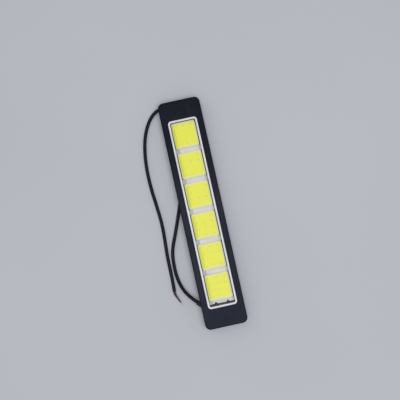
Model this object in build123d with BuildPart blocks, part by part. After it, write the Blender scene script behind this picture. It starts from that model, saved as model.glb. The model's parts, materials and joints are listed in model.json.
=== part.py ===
from build123d import *
from math import cos, pi, radians, sin, tan
import os

os.makedirs("parts", exist_ok=True)

# A slim daytime running light that lies on its mounting pads with the light going up.
# +Y runs along the lamp, away from the cord, and z = 0 is the surface that it is stuck to.
# All sizes are in millimetres, and angles in degrees.

# Emitter row
emitter_count = 6
emitter_length = 19.4
emitter_width = 17.8
emitter_thickness = 1.0
emitter_corner = 1.8
emitter_edge = 0.3
emitter_gap = 3.46

# Window round the row
side_gap = 0.55
upper_gap = 0.35
solder_strip = 2.6
lead_slot = 1.2

# White ring round the window
bezel_width = 1.45
bezel_corner = 2.5
bezel_seat = 0.6
bezel_rise = 0.3
bezel_edge = 0.35

# Black housing
side_margin = 4.8
end_tab = 14.625
body_corner = 4.0
front_round = 1.2
back_break = 0.3
front_wall = 3.2
side_wall = 2.0
tab_skin = 1.8
tab_corner = 1.0
end_web = 1.2
rib_thickness = 1.2

# Blind screw bosses in the end tabs, open at the back
mount_inset = 6.5
mount_hole_radius = 1.1
mount_hole_depth = 6.0
boss_radius = 2.4
boss_short = 0.3

# Board and what lies behind it
board_thickness = 1.5
board_lap = 1.2
thermal_thickness = 0.5
thermal_inset = 0.6
plate_thickness = 1.0
seal_thickness = 0.5
seal_width = 1.5

# Screws of the back plate
post_offset = 8.5
post_inset = 6.5
post_radius = 2.1
screw_shank_radius = 0.8
screw_head_radius = 1.6
screw_length = 3.2
screw_sink_angle = 90
recess_length = 1.6
recess_width = 0.4
recess_depth = 0.45

# Cord, its cores and the sleeve that it leaves by
cable_diameter = 2.5
cable_room = 0.5
core_diameter = 0.9
core_straight = 1.5
bare_length = 2.2
bare_diameter = 0.6
exit_angle = 45
exit_rise = 3.425
exit_straight = 7.4
sheath_grip = 1.5
grommet_wall = 0.5
grommet_inside = 4.5
grommet_outside = 2.8
grommet_edge = 0.3
port_depth = 7.5
port_overrun = 4.0

# Wire joints on the board
red_joint_x = -4.5
black_joint_x = 4.5
red_drop = 1.4
black_drop = 2.8
lead_bend = 1.5
lead_lap = 0.9
joint_start = 0.35
joint_length = 1.0
joint_width = 1.5
joint_height = 0.9
joint_edge = 0.35
sealant_height = 0.8
lobe_radius = 1.2
lobe_reach = 1.6
lobe_edge = 0.4

# Foam pads and their release films
pad_width = 5.0
pad_length = 20.0
pad_corner = 0.8
pad_margin = 0.4
pad_end_margin = 20.9
liner_thickness = 0.15

# Clearance of pieces that are put into one another
fit_gap = 0.1
bore_gap = 0.05

# Share of the shorter run that the arc at a corner of the cord takes up
run_share = 0.45

# Lengths and widths that follow
pitch = emitter_length + emitter_gap
row_length = emitter_count * emitter_length + (emitter_count - 1) * emitter_gap
window_width = emitter_width + 2 * side_gap
window_length = upper_gap + row_length + solder_strip + lead_slot
window_corner = bezel_corner - bezel_width
window_top = window_length / 2
window_low = -window_length / 2
bezel_outer_width = window_width + 2 * bezel_width
bezel_outer_length = window_length + 2 * bezel_width
body_width = bezel_outer_width + 2 * side_margin
body_length = bezel_outer_length + 2 * end_tab
first_emitter_y = window_top - upper_gap - emitter_length / 2
board_width = window_width + 2 * board_lap
board_top = window_top + board_lap
board_low = window_low + lead_slot
pocket_width = body_width - 2 * side_wall
pocket_length = body_length - 2 * side_wall
pocket_corner = body_corner - side_wall
plate_width = pocket_width - 2 * fit_gap
plate_length = pocket_length - 2 * fit_gap
plate_corner = pocket_corner - fit_gap
tab_width = pocket_width - 2 * seal_width
tab_end = pocket_length / 2 - seal_width
upper_tab_start = board_top + fit_gap + end_web
mount_y = body_length / 2 - mount_inset
post_y = body_length / 2 - post_inset
cable_radius = cable_diameter / 2
cable_section = pi * cable_radius**2
core_radius = core_diameter / 2
core_pitch = core_diameter + fit_gap
grommet_bore = cable_radius + bore_gap
grommet_radius = grommet_bore + grommet_wall
pad_x = plate_width / 2 - pad_margin - pad_width / 2
pad_y = plate_length / 2 - pad_end_margin - pad_length / 2

# Levels from the mounting surface up
back_z = cable_diameter + cable_room
plate_top = back_z + plate_thickness
ledge_z = plate_top + seal_thickness
board_back = plate_top + thermal_thickness
board_face = board_back + board_thickness
front_z = board_face + front_wall
tab_ceiling = front_z - tab_skin
rebate_z = front_z - bezel_seat
lead_z = board_face + core_radius

# The cord leaves through the side wall at a slant, level with the wires on the board
outward = Vector(-cos(radians(exit_angle)), sin(radians(exit_angle)), 0)
sideways = Vector(sin(radians(exit_angle)), cos(radians(exit_angle)), 0)
exit_point = Vector(-body_width / 2, window_low + exit_rise, lead_z)
exit_plane = Plane(origin=exit_point, x_dir=(0, 0, 1), z_dir=outward)
sheath_start = exit_point - outward * sheath_grip

mount_spots = [(0, mount_y), (0, -mount_y)]
screw_spots = [(side * post_offset, end * post_y) for side in (-1, 1) for end in (-1, 1)]


def span(low, high):
    return high - low, (low + high) / 2


def bend_radii(points):
    radii = []
    for before, here, after in zip(points, points[1:], points[2:]):
        run_in = here - before
        run_out = after - here
        half_turn = radians(run_in.get_angle(run_out) / 2)
        radii.append(run_share * min(run_in.length, run_out.length) / tan(half_turn))
    return radii


def start_plane(points):
    return Plane(origin=points[0], z_dir=points[1] - points[0])


# Housing: one moulding with a pocket for the plate, a bed for the board, a window and hollow end tabs
board_length, board_y = span(board_low, board_top)
bed_length, bed_y = span(window_low, board_top + fit_gap)
upper_tab_length, upper_tab_y = span(upper_tab_start, tab_end)
lower_tab_length, lower_tab_y = span(-tab_end, window_low)
rib_length, rib_y = span(upper_tab_start, mount_y)

with BuildPart() as housing:
    with BuildSketch(Plane.XY.offset(back_z)):
        RectangleRounded(body_width, body_length, body_corner)
    extrude(amount=front_z - back_z)
    fillet(housing.faces().sort_by(Axis.Z)[-1].edges(), front_round)
    chamfer(housing.faces().sort_by(Axis.Z)[0].edges(), back_break)
    # pocket for the plate and its gasket, then the bed of the board
    with BuildSketch(Plane.XY.offset(back_z)):
        RectangleRounded(pocket_width, pocket_length, pocket_corner)
    extrude(amount=ledge_z - back_z, mode=Mode.SUBTRACT)
    with BuildSketch(Plane.XY.offset(plate_top)):
        with Locations((0, bed_y)):
            Rectangle(board_width + 2 * fit_gap, bed_length)
    extrude(amount=board_face - plate_top, mode=Mode.SUBTRACT)
    # window, with a step round it for the white ring
    with BuildSketch(Plane.XY.offset(board_face)):
        RectangleRounded(window_width, window_length, window_corner)
    extrude(amount=front_wall, mode=Mode.SUBTRACT)
    with BuildSketch(Plane.XY.offset(rebate_z)):
        RectangleRounded(
            bezel_outer_width + 2 * fit_gap,
            bezel_outer_length + 2 * fit_gap,
            bezel_corner + fit_gap,
        )
    extrude(amount=bezel_seat, mode=Mode.SUBTRACT)
    # hollow end tabs with ribs; the one by the cord opens into the window so that the wires can pass
    with BuildSketch(Plane.XY.offset(plate_top)):
        with Locations((0, upper_tab_y)):
            RectangleRounded(tab_width, upper_tab_length, tab_corner)
        with Locations((0, lower_tab_y)):
            RectangleRounded(tab_width, lower_tab_length, tab_corner)
    extrude(amount=tab_ceiling - plate_top, mode=Mode.SUBTRACT)
    with BuildSketch(Plane.XY.offset(ledge_z)):
        with Locations(*mount_spots):
            Rectangle(tab_width, rib_thickness)
        with Locations((0, rib_y)):
            Rectangle(rib_thickness, rib_length)
    extrude(amount=tab_ceiling - ledge_z)
    # posts for the plate's screws and bosses for the mounting screws
    with BuildSketch(Plane.XY.offset(plate_top)):
        with Locations(*screw_spots):
            Circle(post_radius)
    extrude(amount=tab_ceiling - plate_top)
    with BuildSketch(Plane.XY.offset(boss_short)):
        with Locations(*mount_spots):
            Circle(boss_radius)
    extrude(amount=tab_ceiling - boss_short)
    with BuildSketch(Plane.XY.offset(boss_short)):
        with Locations(*mount_spots):
            Circle(mount_hole_radius)
    extrude(amount=mount_hole_depth, mode=Mode.SUBTRACT)
    with BuildSketch(Plane.XY.offset(plate_top)):
        with Locations(*screw_spots):
            Circle(screw_shank_radius + bore_gap)
    extrude(amount=screw_length - plate_thickness + bore_gap, mode=Mode.SUBTRACT)
    # slanting hole for the cord's sleeve
    with BuildSketch(exit_plane.offset(-port_depth)):
        Circle(grommet_radius + bore_gap)
    extrude(amount=port_depth + port_overrun, mode=Mode.SUBTRACT)
housing.part.label = "housing"
export_step(housing.part, "parts/housing.step")

# White ring, let into the front face round the window
with BuildPart() as bezel_ring:
    with BuildSketch(Plane.XY.offset(rebate_z)):
        RectangleRounded(bezel_outer_width, bezel_outer_length, bezel_corner)
        RectangleRounded(window_width, window_length, window_corner, mode=Mode.SUBTRACT)
    extrude(amount=bezel_seat + bezel_rise)
    fillet(bezel_ring.faces().sort_by(Axis.Z)[-1].edges(), bezel_edge)
bezel_ring.part.label = "bezel_ring"
export_step(bezel_ring.part, "parts/bezel_ring.step")

# Board, pressed against the housing from behind
with BuildPart() as led_board:
    with BuildSketch(Plane.XY.offset(board_back)):
        with Locations((0, board_y)):
            Rectangle(board_width, board_length)
    extrude(amount=board_thickness)
led_board.part.label = "led_board"
export_step(led_board.part, "parts/led_board.step")

# Six flat emitters with rounded gel edges, counted from the end away from the cord
for number in range(1, emitter_count + 1):
    with BuildPart() as emitter:
        with BuildSketch(Plane.XY.offset(board_face)):
            with Locations((0, first_emitter_y - (number - 1) * pitch)):
                RectangleRounded(emitter_width, emitter_length, emitter_corner)
        extrude(amount=emitter_thickness)
        fillet(emitter.faces().sort_by(Axis.Z)[-1].edges(), emitter_edge)
    emitter.part.label = f"emitter_{number}"
    export_step(emitter.part, f"parts/emitter_{number}.step")

# Wires from the cord to the board: slanting in, along the end of the board, then on to it
leads = {}
for colour, side, joint_x, drop in (
    ("red", 1, red_joint_x, red_drop),
    ("black", -1, black_joint_x, black_drop),
):
    begin = sheath_start + sideways * (side * core_pitch / 2)
    run_y = window_low - drop
    turn = begin - outward * ((begin.Y - run_y) / outward.Y)
    corner = Vector(joint_x, run_y, lead_z)
    finish = Vector(joint_x, board_low + lead_lap, lead_z)
    route = [begin, turn, corner, finish]
    with BuildPart() as lead:
        with BuildLine():
            FilletPolyline(*route, radius=lead_bend)
        with BuildSketch(start_plane(route)):
            Circle(core_radius)
        sweep()
    lead.part.label = f"inner_lead_{colour}"
    export_step(lead.part, f"parts/inner_lead_{colour}.step")
    leads[colour] = lead.part

# Solder round the two wire ends
joint_y = board_low + joint_start + joint_length / 2

with BuildPart() as solder_joints:
    with BuildSketch(Plane.XY.offset(board_face)):
        with Locations((red_joint_x, joint_y), (black_joint_x, joint_y)):
            Rectangle(joint_width, joint_length)
    extrude(amount=joint_height)
    fillet(solder_joints.faces().group_by(Axis.Z)[-1].edges(), joint_edge)
    add(leads["red"], mode=Mode.SUBTRACT)
    add(leads["black"], mode=Mode.SUBTRACT)
solder_joints.part.label = "solder_joints"
export_step(solder_joints.part, "parts/solder_joints.step")

# Sealant: a bead that fills the slot at the end of the board, with a lobe over each joint
slot_length, slot_y = span(window_low + fit_gap, board_low)

with BuildPart() as lead_sealant:
    with BuildSketch(Plane.XY.offset(board_back)):
        RectangleRounded(
            window_width - 2 * fit_gap,
            window_length - 2 * fit_gap,
            window_corner - fit_gap,
        )
        with Locations((0, slot_y)):
            Rectangle(window_width, slot_length, mode=Mode.INTERSECT)
    extrude(amount=board_thickness + sealant_height)
    with BuildSketch(Plane.XZ.offset(-board_low - lobe_reach)):
        with Locations((red_joint_x, board_face), (black_joint_x, board_face)):
            Circle(lobe_radius)
            Rectangle(
                2 * lobe_radius,
                lobe_radius,
                align=(Align.CENTER, Align.MAX),
                mode=Mode.SUBTRACT,
            )
    extrude(amount=lobe_reach + slot_length)
    lobe_ends = lead_sealant.faces().filter_by(Axis.Y).group_by(Axis.Y)[-1]
    fillet(lobe_ends.edges().filter_by(GeomType.CIRCLE), lobe_edge)
    add(solder_joints.part, mode=Mode.SUBTRACT)
    add(leads["red"], mode=Mode.SUBTRACT)
    add(leads["black"], mode=Mode.SUBTRACT)
lead_sealant.part.label = "lead_sealant"
export_step(lead_sealant.part, "parts/lead_sealant.step")

# Soft sheet that takes the heat to the plate
with BuildPart() as thermal_pad:
    with BuildSketch(Plane.XY.offset(plate_top)):
        with Locations((0, board_y)):
            Rectangle(board_width - 2 * thermal_inset, board_length - 2 * thermal_inset)
    extrude(amount=thermal_thickness)
thermal_pad.part.label = "thermal_pad"
export_step(thermal_pad.part, "parts/thermal_pad.step")

# Back plate, flush with the housing, with holes for the bosses and sunk holes for its screws
with BuildPart() as back_plate:
    with BuildSketch(Plane.XY.offset(back_z)):
        RectangleRounded(plate_width, plate_length, plate_corner)
        with Locations(*mount_spots):
            Circle(boss_radius + fit_gap, mode=Mode.SUBTRACT)
    extrude(amount=plate_thickness)
    with Locations(*[Plane(origin=(x, y, back_z), z_dir=(0, 0, -1)) for x, y in screw_spots]):
        CounterSinkHole(
            screw_shank_radius + fit_gap,
            screw_head_radius + fit_gap,
            counter_sink_angle=screw_sink_angle,
        )
back_plate.part.label = "back_plate"
export_step(back_plate.part, "parts/back_plate.step")

# Flat gasket between the plate and the ledge of the housing
with BuildPart() as back_seal:
    with BuildSketch(Plane.XY.offset(plate_top)):
        RectangleRounded(plate_width, plate_length, plate_corner)
        RectangleRounded(tab_width, 2 * tab_end, tab_corner, mode=Mode.SUBTRACT)
        with Locations(*mount_spots):
            Circle(boss_radius + fit_gap, mode=Mode.SUBTRACT)
    extrude(amount=seal_thickness)
back_seal.part.label = "back_seal"
export_step(back_seal.part, "parts/back_seal.step")

# Four small sunk screws with a cross recess
head_height = (screw_head_radius - screw_shank_radius) / tan(radians(screw_sink_angle / 2))
from_below = (Align.CENTER, Align.CENTER, Align.MIN)

with BuildPart() as plate_screws:
    with Locations(*[(x, y, back_z) for x, y in screw_spots]):
        Cone(screw_head_radius, screw_shank_radius, head_height, align=from_below)
        Cylinder(screw_shank_radius, screw_length, align=from_below)
        Box(recess_length, recess_width, recess_depth, align=from_below, mode=Mode.SUBTRACT)
        Box(recess_width, recess_length, recess_depth, align=from_below, mode=Mode.SUBTRACT)
plate_screws.part.label = "plate_screws"
export_step(plate_screws.part, "parts/plate_screws.step")

# Rubber sleeve in the slanting hole of the side wall
with BuildPart() as cable_grommet:
    with BuildSketch(exit_plane.offset(-grommet_inside)):
        Circle(grommet_radius)
        Circle(grommet_bore, mode=Mode.SUBTRACT)
    extrude(amount=grommet_inside + grommet_outside)
    mouth = cable_grommet.faces().sort_by(Axis(exit_point, outward))[-1]
    fillet(mouth.outer_wire().edges(), grommet_edge)
cable_grommet.part.label = "cable_grommet"
export_step(cable_grommet.part, "parts/cable_grommet.step")

# Cord: out of the sleeve, in a loop beside the lamp, under it to the far end and back along its side
floor_z = cable_radius
cable_route = [
    sheath_start,
    exit_point + outward * exit_straight,
    Vector(-26.0, -53.0, 3.7),
    Vector(-28.6, -43.9, floor_z),
    Vector(-29.0, -33.4, floor_z),
    Vector(-27.8, -22.6, floor_z),
    Vector(-22.8, -11.0, floor_z),
    Vector(-18.2, 0.8, floor_z),
    Vector(-13.6, 13.4, floor_z),
    Vector(-8.2, 27.4, floor_z),
    Vector(-4.9, 40.9, floor_z),
    Vector(-3.7, 54.1, floor_z),
    Vector(-3.6, 65.9, floor_z),
    Vector(-4.4, 74.6, floor_z),
    Vector(-8.0, 81.0, floor_z),
    Vector(-15.4, 82.8, floor_z),
    Vector(-21.8, 78.4, floor_z),
    Vector(-26.6, 71.5, floor_z),
    Vector(-30.3, 62.6, floor_z),
    Vector(-32.7, 51.1, floor_z),
    Vector(-33.7, 38.4, floor_z),
    Vector(-33.4, 25.0, floor_z),
    Vector(-32.1, 11.6, floor_z),
    Vector(-31.0, -2.4, floor_z),
    Vector(-31.6, -15.6, floor_z),
    Vector(-32.4, -28.4, floor_z),
    Vector(-32.2, -40.8, floor_z),
    Vector(-32.6, -52.7, floor_z),
]
cable_radii = bend_radii(cable_route)
print("cord bend radii:", [round(radius, 1) for radius in cable_radii])

with BuildPart() as cable:
    with BuildLine() as cable_line:
        FilletPolyline(*cable_route, radius=cable_radii)
    with BuildSketch(start_plane(cable_route)):
        Circle(cable_radius)
    sweep()
cable.part.label = "cable"
export_step(cable.part, "parts/cable.step")
cable_length = sum(edge.length for edge in cable_line.edges())
volume_share = cable.part.volume / (cable_section * cable_length)
print("cord length:", round(cable_length, 1))
print("cord volume over section times length:", round(volume_share, 4))

# Stripped cores at the far end, rolled over until the red one lies on the black, with tinned bare ends
sheath_end = cable_route[-1]
along = (sheath_end - cable_route[-2]).normalized()
across = Vector(-along.Y, along.X, 0)
pair_z = core_radius + core_pitch / 2
pair_lay = [
    (sheath_end, 0),
    (sheath_end + along * core_straight, 0),
    (Vector(-32.2, -55.9, 1.1), 30),
    (Vector(-31.3, -58.1, 0.94), 62),
    (Vector(-29.95, -61.25, pair_z), 80),
]
bare_starts = []
for colour, side in (("red", 1), ("black", -1)):
    route = []
    for middle, roll in pair_lay:
        apart = across * cos(radians(roll)) + Vector(0, 0, sin(radians(roll)))
        route.append(middle + apart * (side * core_pitch / 2))
    with BuildPart() as core:
        with BuildLine():
            FilletPolyline(*route, radius=bend_radii(route))
        with BuildSketch(start_plane(route)):
            Circle(core_radius)
        sweep()
    core.part.label = f"core_{colour}"
    export_step(core.part, f"parts/core_{colour}.step")
    bare_starts.append(Plane(origin=route[-1], z_dir=route[-1] - route[-2]))

with BuildPart() as wire_ends:
    for bare_start in bare_starts:
        with BuildSketch(bare_start):
            Circle(bare_diameter / 2)
        extrude(amount=bare_length)
wire_ends.part.label = "wire_ends"
export_step(wire_ends.part, "parts/wire_ends.step")

# Adhesive foam pads on the back plate, with the release film still on them
pad_spots = [(side * pad_x, end * pad_y) for end in (1, -1) for side in (-1, 1)]
for number, pad_spot in enumerate(pad_spots, start=1):
    with BuildPart() as foam_pad:
        with BuildSketch(Plane.XY.offset(liner_thickness)):
            with Locations(pad_spot):
                RectangleRounded(pad_width, pad_length, pad_corner)
        extrude(amount=back_z - liner_thickness)
    foam_pad.part.label = f"foam_pad_{number}"
    export_step(foam_pad.part, f"parts/foam_pad_{number}.step")
    with BuildPart() as pad_liner:
        with BuildSketch(Plane.XY):
            with Locations(pad_spot):
                RectangleRounded(pad_width, pad_length, pad_corner)
        extrude(amount=liner_thickness)
    pad_liner.part.label = f"pad_liner_{number}"
    export_step(pad_liner.part, f"parts/pad_liner_{number}.step")
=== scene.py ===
import json
import math

import bmesh
import bpy
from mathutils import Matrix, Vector


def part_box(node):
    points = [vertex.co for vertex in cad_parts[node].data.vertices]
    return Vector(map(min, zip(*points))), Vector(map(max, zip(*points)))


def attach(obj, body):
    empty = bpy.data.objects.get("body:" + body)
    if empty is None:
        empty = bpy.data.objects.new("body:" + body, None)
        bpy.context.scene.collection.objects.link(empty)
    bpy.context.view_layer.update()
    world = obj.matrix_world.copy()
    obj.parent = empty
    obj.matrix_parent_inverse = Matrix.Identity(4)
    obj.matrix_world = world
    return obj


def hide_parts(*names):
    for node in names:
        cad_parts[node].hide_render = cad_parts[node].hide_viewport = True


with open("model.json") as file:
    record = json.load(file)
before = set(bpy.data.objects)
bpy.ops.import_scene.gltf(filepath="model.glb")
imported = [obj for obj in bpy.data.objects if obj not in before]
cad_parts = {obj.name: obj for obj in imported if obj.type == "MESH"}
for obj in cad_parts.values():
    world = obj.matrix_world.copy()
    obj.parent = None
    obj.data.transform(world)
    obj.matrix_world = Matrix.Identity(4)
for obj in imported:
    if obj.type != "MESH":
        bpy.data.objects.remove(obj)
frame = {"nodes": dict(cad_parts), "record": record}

# Pieces are modelled in millimetres and shrunk to metres when they are done.
mm = 0.001
scene = bpy.context.scene
scene.view_settings.view_transform = "Standard"
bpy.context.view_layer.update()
print("frame loaded:", len(frame["nodes"]), "nodes")

# The photo is taken almost straight down, with the lamp turned a little in the frame.
cameraSet = {
    "target": (0.25, 9.08, 8.0),
    "distance": 500.0,
    "frameWidth": 293.9,
    "sensorWidth": 36.0,
    "lean": 3.3,
    "turn": -12.41,
}


def addCamera():
    turned = (math.radians(cameraSet["lean"]), 0, math.radians(cameraSet["turn"]))
    bpy.ops.object.camera_add(rotation=turned)
    camera = bpy.context.object
    camera.name = "photoCamera"
    looking = camera.rotation_euler.to_matrix() @ Vector((0, 0, -1))
    camera.location = (Vector(cameraSet["target"]) - looking * cameraSet["distance"]) * mm
    camera.data.sensor_width = cameraSet["sensorWidth"]
    camera.data.lens = cameraSet["sensorWidth"] * cameraSet["distance"] / cameraSet["frameWidth"]
    scene.camera = camera


def dropSelection():
    if bpy.context.mode != "OBJECT":
        bpy.ops.object.mode_set(mode="OBJECT")
    bpy.ops.object.select_all(action="DESELECT")


def takeUp(piece):
    dropSelection()
    piece.select_set(True)
    bpy.context.view_layer.objects.active = piece


dropSelection()
addCamera()
print("camera set")

# The cord's line, from the sleeve round beside the lamp, under it, and back along its side.
cordSet = {
    "radius": 1.25,
    "length": 305.8,
    "exit": (-15.7, -65.5, 6.45),
    "route": [
        (-14.64, -66.56, 6.45), (-20.93, -60.27, 6.45), (-26.0, -53.0, 3.7),
        (-28.6, -43.9, 1.25), (-29.0, -33.4, 1.25), (-27.8, -22.6, 1.25),
        (-22.8, -11.0, 1.25), (-18.2, 0.8, 1.25), (-13.6, 13.4, 1.25),
        (-8.2, 27.4, 1.25), (-4.9, 40.9, 1.25), (-3.7, 54.1, 1.25),
        (-3.6, 65.9, 1.25), (-4.4, 74.6, 1.25), (-8.0, 81.0, 1.25),
        (-15.4, 82.8, 1.25), (-21.8, 78.4, 1.25), (-26.6, 71.5, 1.25),
        (-30.3, 62.6, 1.25), (-32.7, 51.1, 1.25), (-33.7, 38.4, 1.25),
        (-33.4, 25.0, 1.25), (-32.1, 11.6, 1.25), (-31.0, -2.4, 1.25),
        (-31.6, -15.6, 1.25), (-32.4, -28.4, 1.25), (-32.2, -40.8, 1.25),
        (-32.6, -52.7, 1.25),
    ],
    "stepsAlong": 10,
    "stepsRound": 6,
    "ends": ["core_red", "core_black"],
}


def addCord():
    line = bpy.data.curves.new("cordSheath", "CURVE")
    line.dimensions = "3D"
    spline = line.splines.new("NURBS")
    spline.points.add(len(cordSet["route"]) - 1)
    for point, place in zip(spline.points, cordSet["route"]):
        point.co = (*(Vector(place) * mm), 1)
        point.radius = mm
    spline.order_u = 3
    spline.use_endpoint_u = True
    spline.resolution_u = cordSet["stepsAlong"]
    line.bevel_depth = cordSet["radius"]  # the points' own radius brings it to metres
    line.bevel_resolution = cordSet["stepsRound"]
    line.use_fill_caps = True
    cord = bpy.data.objects.new("cordSheath", line)
    scene.collection.objects.link(cord)
    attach(cord, "root")
    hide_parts("cable")
    return cord


cordSheath = addCord()
print("cord laid")

# Helpers for working on a mesh as by hand
hair = 0.01  # places closer than this count as level
steep = 0.9  # a normal with this much along an axis faces that way


def boxOf(node):
    low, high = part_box(node)
    return low / mm, high / mm


def openNet(piece, mode):
    bpy.ops.mesh.select_mode(type=mode)
    bpy.ops.mesh.select_all(action="DESELECT")
    return bmesh.from_edit_mesh(piece.data)


def pickFaces(piece, test):
    net = openNet(piece, "FACE")
    net.normal_update()
    for face in net.faces:
        if test(face.calc_center_median(), face.normal):
            face.select_set(True)
    bmesh.update_edit_mesh(piece.data)


def pickEdges(piece, test):
    net = openNet(piece, "EDGE")
    for edge in net.edges:
        if test(edge.verts[0].co, edge.verts[1].co):
            edge.select_set(True)
    bmesh.update_edit_mesh(piece.data)


def pickPoints(piece, test):
    net = openNet(piece, "VERT")
    for point in net.verts:
        if test(point.co):
            point.select_set(True)
    bmesh.update_edit_mesh(piece.data)


def roundPicked(width, steps, what="EDGES", clamp=False):
    bpy.ops.mesh.bevel(offset=width, segments=steps, profile=0.5, affect=what, clamp_overlap=clamp)


def pullPicked(x, y, z):
    bpy.ops.mesh.extrude_region_move(TRANSFORM_OT_translate={"value": (x, y, z)})


def movePicked(x, y, z):
    bpy.ops.transform.translate(value=(x, y, z))


def turnOutwards():
    bpy.ops.mesh.select_all(action="SELECT")
    bpy.ops.mesh.normals_make_consistent(inside=False)


def addBlock(name, low, high):
    # a block between two corners, left open for editing
    dropSelection()
    bpy.ops.mesh.primitive_cube_add(size=1)
    piece = bpy.context.object
    piece.name = name
    bpy.ops.object.mode_set(mode="EDIT")
    bpy.ops.transform.resize(value=[b - a for a, b in zip(low, high)])
    movePicked(*[(a + b) / 2 for a, b in zip(low, high)])
    return piece


def addRoundedBlock(name, low, high, corner, steps):
    piece = addBlock(name, low, high)
    tall = 0.5 * (high[2] - low[2])
    pickEdges(piece, lambda a, b: abs(a.z - b.z) > tall)
    roundPicked(corner, steps, clamp=True)
    return piece


def addPost(name, spot, radius, low, high, steps=64):
    dropSelection()
    bpy.ops.mesh.primitive_cone_add(
        vertices=steps,
        radius1=radius,
        radius2=radius,
        depth=high - low,
        location=(spot[0], spot[1], (low + high) / 2),
    )
    piece = bpy.context.object
    piece.name = name
    bpy.ops.object.transform_apply(location=True, rotation=True, scale=True)
    return piece


def applyModifier(piece, kind, settings):
    takeUp(piece)
    step = piece.modifiers.new(kind, kind)
    for label, value in settings.items():
        setattr(step, label, value)
    bpy.ops.object.modifier_apply(modifier=step.name)


def useTool(piece, tool, operation):
    # a boolean with another solid, which is then thrown away
    settings = {"operation": operation, "solver": "EXACT", "material_mode": "TRANSFER", "object": tool}
    applyModifier(piece, "BOOLEAN", settings)
    bpy.data.objects.remove(tool, do_unlink=True)


def joinPieces(pieces):
    dropSelection()
    for piece in pieces:
        piece.select_set(True)
    bpy.context.view_layer.objects.active = pieces[0]
    bpy.ops.object.join()
    return bpy.context.object


def copyPiece(piece, name, move):
    # a copy with its own mesh
    takeUp(piece)
    bpy.ops.object.duplicate(linked=False)
    double = bpy.context.object
    double.name = name
    double.location = move
    bpy.ops.object.transform_apply(location=True, rotation=True, scale=True)
    return double


def copyToNodes(first, pieceName, nodes):
    # the first piece, and its copies at the other nodes' places
    start = boxOf(nodes[0])[0]
    pieces = [first]
    for number, node in enumerate(nodes[1:], 2):
        pieces.append(copyPiece(first, f"{pieceName}{number}", boxOf(node)[0] - start))
    return pieces


def finishPiece(piece, node, materials, angle=35):
    # shrink to metres about the origin, shade, dress and hang on the frame
    takeUp(piece)
    piece.data.name = piece.name
    piece.scale = (mm, mm, mm)
    bpy.ops.object.transform_apply(location=True, rotation=True, scale=True)
    bpy.ops.object.shade_smooth_by_angle(angle=math.radians(angle))
    while len(piece.data.materials) < len(materials):
        piece.data.materials.append(None)
    for index, material in enumerate(materials):
        piece.data.materials[index] = material
    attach(piece, "root")
    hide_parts(node)
    dropSelection()


# Helpers for materials

def inMetres(values):
    return [value * mm for value in values]


def newGroup(name, inputs, outputs):
    # a group that reads a place and some numbers
    group = bpy.data.node_groups.new(name, "ShaderNodeTree")
    group.interface.new_socket(name="Vector", in_out="INPUT", socket_type="NodeSocketVector")
    for way, labels in (("INPUT", inputs), ("OUTPUT", outputs)):
        for label in labels:
            group.interface.new_socket(name=label, in_out=way, socket_type="NodeSocketFloat")
    return group, group.nodes.new("NodeGroupInput"), group.nodes.new("NodeGroupOutput")


def setInputs(node, values):
    for label, value in values.items():
        node.inputs[label].default_value = value


def placeGroup(tree, group, vector, values):
    node = tree.nodes.new("ShaderNodeGroup")
    node.node_tree = group
    tree.links.new(vector, node.inputs["Vector"])
    setInputs(node, values)
    return node.outputs


def addNode(tree, kind, values):
    node = tree.nodes.new(kind)
    setInputs(node, values)
    return node


def addCells(tree, values):
    node = tree.nodes.new("ShaderNodeTexVoronoi")
    node.feature = "SMOOTH_F1"
    setInputs(node, values)
    return node


def addMath(tree, operation, first, second=None, third=None):
    node = tree.nodes.new("ShaderNodeMath")
    node.operation = operation
    for index, value in enumerate((first, second, third)):
        if isinstance(value, (int, float)):
            node.inputs[index].default_value = value
        elif value is not None:
            tree.links.new(value, node.inputs[index])
    return node.outputs[0]


def addDistance(tree, first, second):
    squares = [addMath(tree, "POWER", value, 2.0) for value in (first, second)]
    return addMath(tree, "SQRT", addMath(tree, "ADD", *squares))


def addRamp(tree, value, low, high, outLow=0.0, outHigh=1.0):
    node = tree.nodes.new("ShaderNodeMapRange")
    node.interpolation_type = "SMOOTHSTEP"
    setInputs(node, {"From Min": low, "From Max": high, "To Min": outLow, "To Max": outHigh})
    tree.links.new(value, node.inputs["Value"])
    return node.outputs["Result"]


def addMix(tree, share, first, second):
    node = tree.nodes.new("ShaderNodeMix")
    node.data_type = "RGBA"
    for socket, value in ((node.inputs[0], share), (node.inputs[6], first), (node.inputs[7], second)):
        if isinstance(value, (int, float)):
            socket.default_value = value
        elif isinstance(value, tuple):
            socket.default_value = (*value, 1)
        else:
            tree.links.new(value, socket)
    return node.outputs[2]


def addLayer(tree, mask, share, colour, layerColour):
    # a colour laid over another inside a mask, by a share of its strength
    return addMix(tree, addMath(tree, "MULTIPLY", mask, share), colour, layerColour)


def newMaterial(name, sheen=0.5, metallic=0.0):
    # a material with its shader and Object coordinates to build on
    material = bpy.data.materials.new(name)
    material.use_nodes = True
    tree = material.node_tree
    shader = tree.nodes["Principled BSDF"]
    setInputs(shader, {"Specular IOR Level": sheen, "Metallic": metallic})
    place = tree.nodes.new("ShaderNodeTexCoord").outputs["Object"]
    return material, tree, shader, place


def linkRough(tree, shader, value, span):
    tree.links.new(addRamp(tree, value, 0.0, 1.0, *span), shader.inputs["Roughness"])


def addBump(tree, shader, height, strength, distance):
    node = addNode(tree, "ShaderNodeBump", {"Strength": strength, "Distance": distance * mm})
    tree.links.new(height, node.inputs["Height"])
    tree.links.new(node.outputs["Normal"], shader.inputs["Normal"])


def axisValue(tree, place, axis):
    node = tree.nodes.new("ShaderNodeSeparateXYZ")
    tree.links.new(place, node.inputs["Vector"])
    return node.outputs[axis]


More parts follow.
